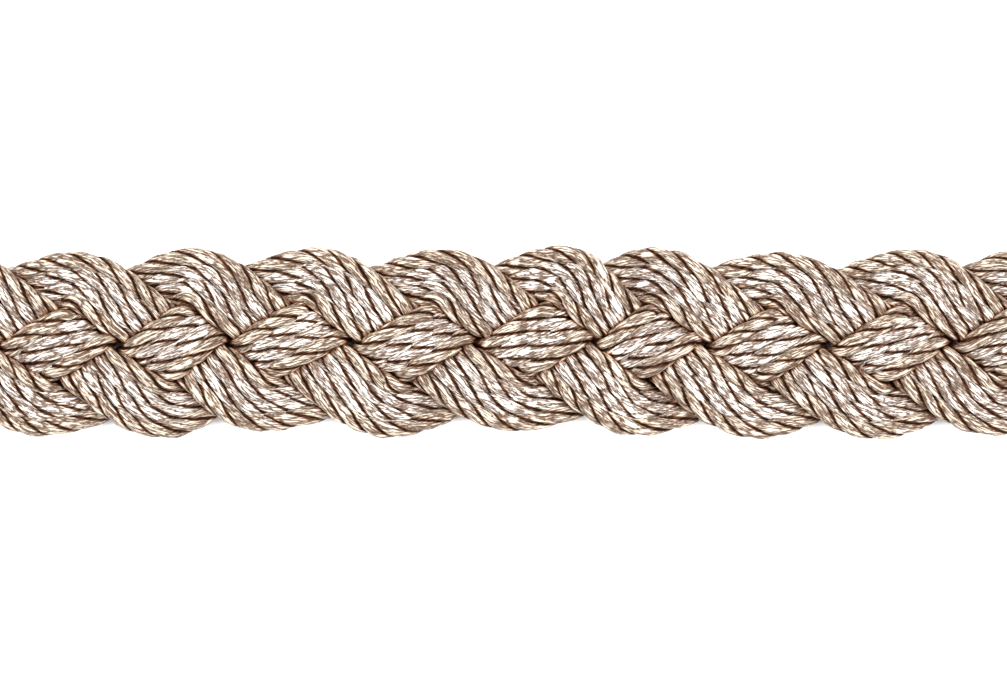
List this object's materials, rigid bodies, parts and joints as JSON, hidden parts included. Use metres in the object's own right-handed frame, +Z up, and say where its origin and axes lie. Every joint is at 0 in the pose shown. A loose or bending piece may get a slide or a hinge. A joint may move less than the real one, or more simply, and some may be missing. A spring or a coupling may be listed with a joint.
{
  "type": "braided twisted cord trim",
  "caption": "Cut length of flat lustrous trimming, strands of twisted cords braided over and under with slanting eyes down the middle",
  "frame": {"origin": "under the middle of the trim's length and width, on the surface that it lies on", "axes": "+X along the trim, +Y across it, +Z up out of its face"},
  "size_m": [0.09, 0.0159, 0.0036],
  "materials": {
    "cord": "lustrous three-ply twisted yarn, rose beige with pale silvery middles"
  },
  "bodies": {
    "root": {"strand_a": "cord", "strand_b": "cord", "strand_c": "cord", "strand_d": "cord"}
  },
  "joints": []
}
